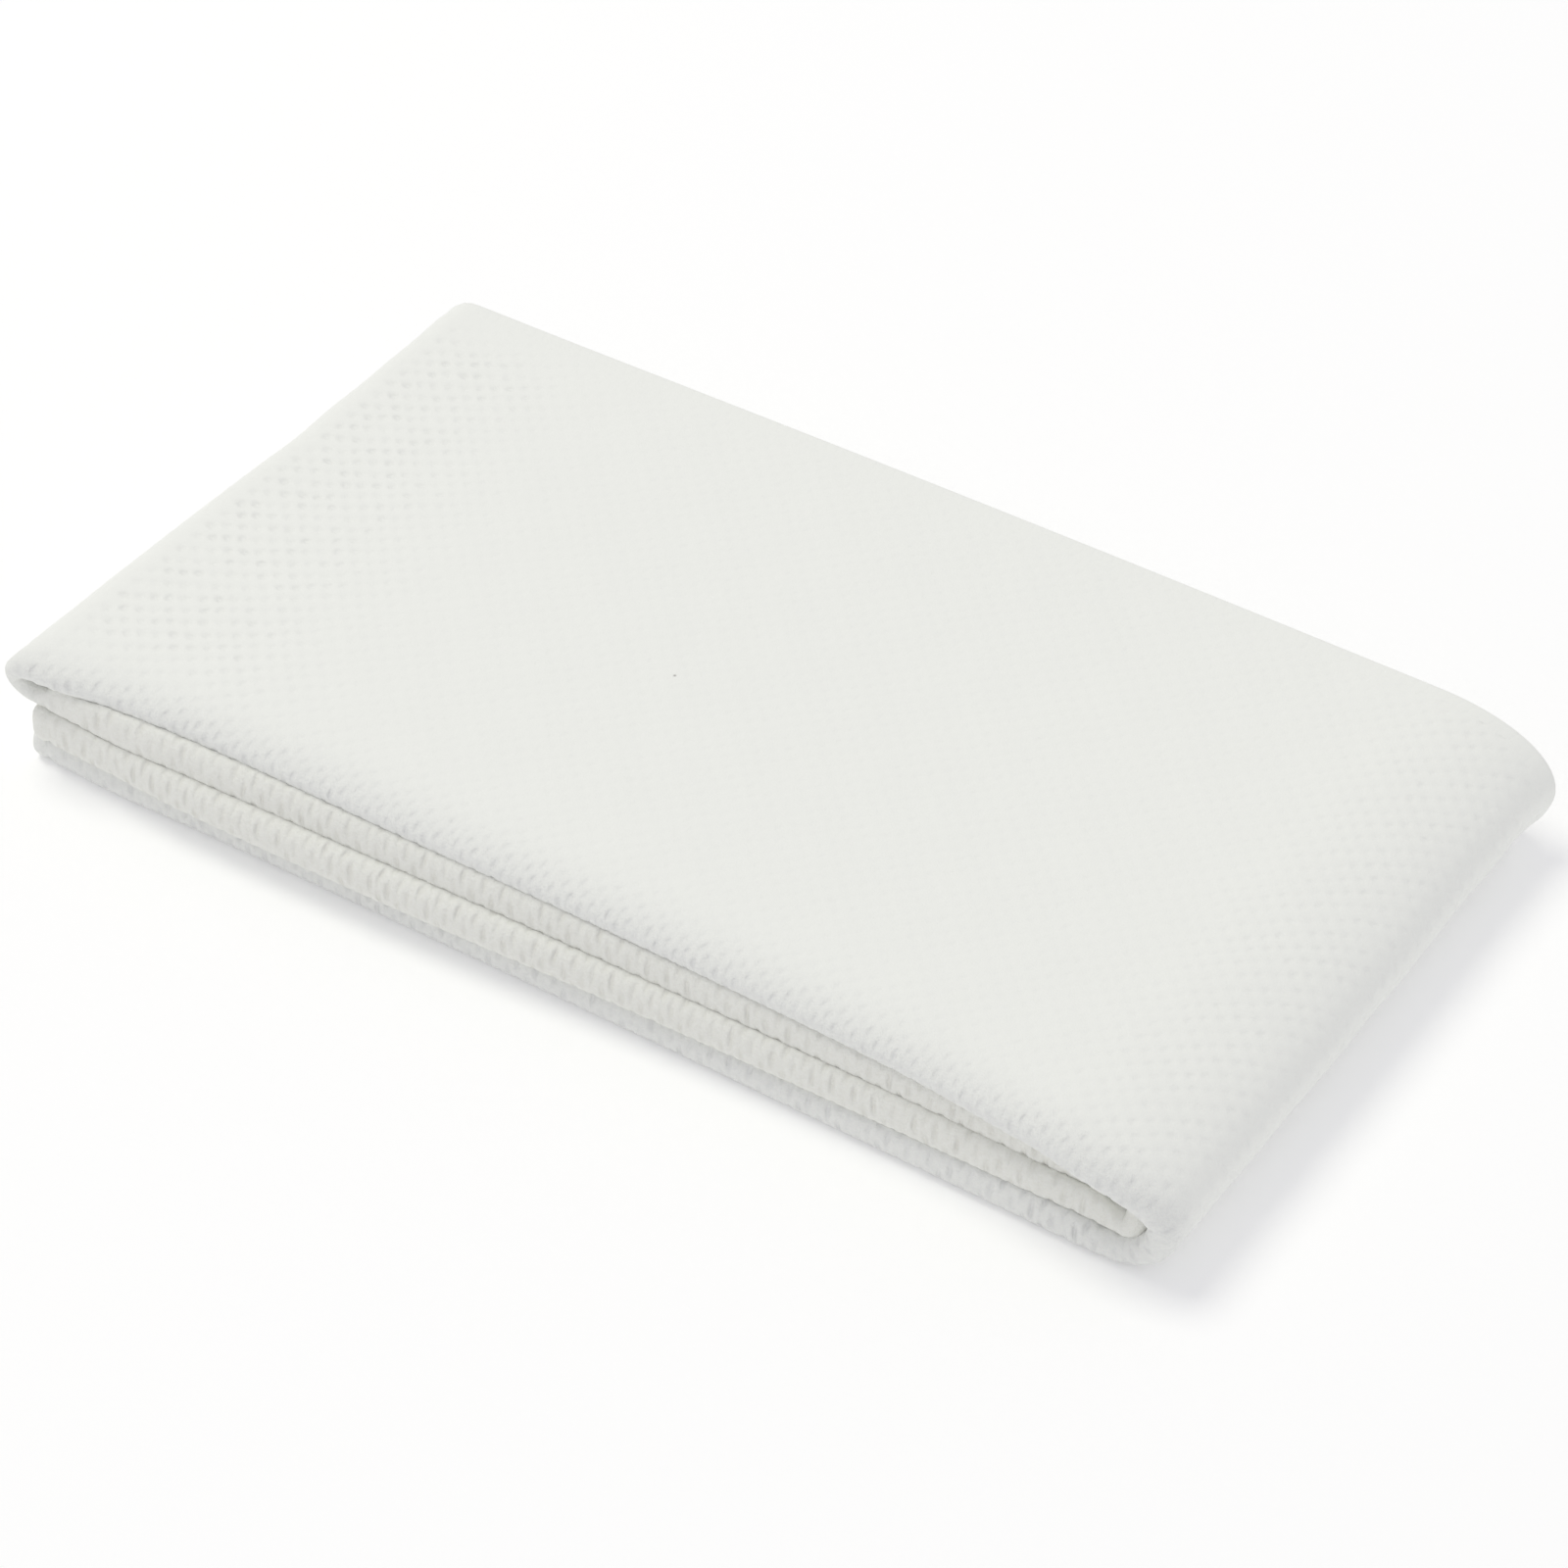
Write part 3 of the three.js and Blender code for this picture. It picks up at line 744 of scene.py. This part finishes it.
# The hem's thread, which no dimple crosses
threaded = sum_of("SUBTRACT", 1, smooth_step(from_hem, *THREAD_ENDS))
dimple = sum_of("MULTIPLY", dimple, sum_of("SUBTRACT", 1, threaded))
slant = sum_of("MULTIPLY_ADD", from_hem, STITCH_SLANT, sum_of("DIVIDE", along_hem, STITCH_PITCH))
stitch_wave = sum_of("ABSOLUTE", sum_of("SINE", sum_of("MULTIPLY", slant, math.pi)))
stitches = sum_of("MULTIPLY", sum_of("POWER", stitch_wave, STITCH_POWER), threaded)

# The height of it all, with the fibres, which stand up most on the front folds
coarse_fibres, fine_fibres = FIBRES_TO_METRE
fibres = sum_of("ADD", noise_of(cloth_at, coarse_fibres, 3), noise_of(cloth_at, fine_fibres, 2))
fuzz = sum_of("MULTIPLY", fibres, sum_of("MULTIPLY_ADD", front_fold, MORE_ON_FOLD, FIBRES))
height = sum_of("MULTIPLY", dimple, sum_of("MULTIPLY_ADD", front_fold, -FINE_SLOT, -FINE_DIMPLE))
height = sum_of("MULTIPLY_ADD", stitches, STITCH_HEIGHT, height)
height = sum_of("MULTIPLY_ADD", fuzz, FIBRE_HEIGHT, height)
bump = tree.nodes.new("ShaderNodeBump")
bump.inputs["Distance"].default_value = MILLIMETRE
tree.links.new(height, bump.inputs["Height"])
tree.links.new(bump.outputs["Normal"], shader.inputs["Normal"])

# The colour: painted shade in the dimples and slots, between the stitches and on the front folds, over the
# yarn's own clouds and fibres
on_fold = sum_of("POWER", front_fold, 2.0)
# Painted shade in the dimples, deeper in the slots on the front folds
shade = sum_of("MULTIPLY", dimple, sum_of("MULTIPLY_ADD", on_fold, SLOT_SHADE, DIMPLE_SHADE))
# The yarn's own faint clouds and fibres
shade = sum_of("MULTIPLY_ADD", noise_of(cloth_at, CLOUDS_TO_METRE, 2), CLOUD_SHADE, shade)
shade = sum_of("MULTIPLY_ADD", fuzz, FIBRE_SHADE, shade)
# Painted shade between the hem's stitches
shade = sum_of("MULTIPLY_ADD", sum_of("SUBTRACT", threaded, stitches), STITCH_SHADE, shade)
# Painted shade on the front folds, which get less light than the top
shade = sum_of("MULTIPLY_ADD", front_fold, FOLD_SHADE, shade)
from_lint = tree.nodes.new("ShaderNodeVectorMath")
from_lint.operation = "DISTANCE"
feed(from_lint, cloth_at, LINT_AT)
lint = smooth_step(from_lint.outputs["Value"], LINT_REACH, 0)
# Painted shade is warmer on the two strips between the others, for light bounced between them
shaded_yarn = mixed(attribute_of("between"), YARN_IN_SHADE, YARN_IN_WARM_SHADE)
cloth_colour = mixed(lint, mixed(shade, YARN, shaded_yarn), LINT)
tree.links.new(cloth_colour, shader.inputs["Base Color"])
roughness = sum_of("MULTIPLY_ADD", fibres, ROUGHNESS_SPREAD, ROUGHNESS)
tree.links.new(roughness, shader.inputs["Roughness"])
shader.inputs["Specular IOR Level"].default_value = 0.2
shader.inputs["Sheen Weight"].default_value = 0.15
shader.inputs["Sheen Roughness"].default_value = 0.6
towel_mesh.materials.append(white_knit)

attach(towel, "root")
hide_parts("towel")

# THE FLOOR AND THE LIGHT
# A white table top of matt paper, one large soft lamp high on the left, and a pale room that gives most of
# the light from all around. The room's light is faintly cool and the lamp's warm. Metres and watts.

FLOOR_HALF = 3
PAPER = (0.97, 0.97, 0.97, 1)
PAPER_GLOW = 0.12
ROOM_LIGHT = (0.982, 0.978, 1.015, 1)
ROOM_STRENGTH = 0.66
LAMP_AT = (-2.2, 0.0, 4.2)
LAMP_WIDTH = 2.4
LAMP_POWER = 66
LAMP_LIGHT = (1, 1, 0.89)

floor_corners = [(FLOOR_HALF * a, FLOOR_HALF * b, 0) for a, b in ((-1, -1), (1, -1), (1, 1), (-1, 1))]
floor_mesh = bpy.data.meshes.new("floor")
floor_mesh.from_pydata(floor_corners, [], [(0, 1, 2, 3)])
floor = bpy.data.objects.new("floor", floor_mesh)
bpy.context.collection.objects.link(floor)
pale_paper = bpy.data.materials.new("pale_paper")
pale_paper.use_nodes = True
paper_shader = pale_paper.node_tree.nodes["Principled BSDF"]
paper_shader.inputs["Base Color"].default_value = PAPER
paper_shader.inputs["Roughness"].default_value = 1.0
paper_shader.inputs["Emission Color"].default_value = (1, 1, 1, 1)
paper_shader.inputs["Emission Strength"].default_value = PAPER_GLOW
floor_mesh.materials.append(pale_paper)

room = bpy.data.worlds.new("room")
bpy.context.scene.world = room
room.use_nodes = True
room.node_tree.nodes["Background"].inputs["Color"].default_value = ROOM_LIGHT
room.node_tree.nodes["Background"].inputs["Strength"].default_value = ROOM_STRENGTH

lamp = bpy.data.lights.new("soft_light", "AREA")
lamp.shape = "DISK"
lamp.size = LAMP_WIDTH
lamp.energy = LAMP_POWER
lamp.color = LAMP_LIGHT
lamp_at = bpy.data.objects.new("soft_light", lamp)
lamp_at.location = LAMP_AT
lamp_at.rotation_euler = (-lamp_at.location).to_track_quat("-Z", "Y").to_euler()
bpy.context.collection.objects.link(lamp_at)
bpy.context.scene.view_settings.view_transform = "Standard"

# THE CAMERA
# It looks down on the front right corner. Directions in degrees, places in metres.

CAMERA_AT = (0.40488, -0.62937, 0.62853)
CAMERA_AZIMUTH, CAMERA_HEIGHT = 32.723, 39.385
CAMERA_PAN, CAMERA_TILT, CAMERA_ROLL = 0.0797, -0.4554, 1.1204
CAMERA_LENS = 117.0

azimuth, height = math.radians(CAMERA_AZIMUTH), math.radians(CAMERA_HEIGHT)
look = Vector((
    -math.sin(azimuth) * math.cos(height), math.cos(azimuth) * math.cos(height), -math.sin(height)))
right = look.cross(Vector((0, 0, 1))).normalized()
up = right.cross(look)
look += right * math.tan(math.radians(CAMERA_PAN)) + up * math.tan(math.radians(CAMERA_TILT))
look.normalize()
right = look.cross(Vector((0, 0, 1))).normalized()
up = right.cross(look)
level = Matrix((right, up, -look)).transposed()
turned = level @ Matrix.Rotation(math.radians(CAMERA_ROLL), 3, "Z")

camera_data = bpy.data.cameras.new("camera")
camera_data.sensor_width = 36
camera_data.lens = CAMERA_LENS
camera_data.clip_start = 0.01
camera = bpy.data.objects.new("camera", camera_data)
camera.matrix_world = Matrix.Translation(CAMERA_AT) @ turned.to_4x4()
bpy.context.collection.objects.link(camera)
bpy.context.scene.camera = camera
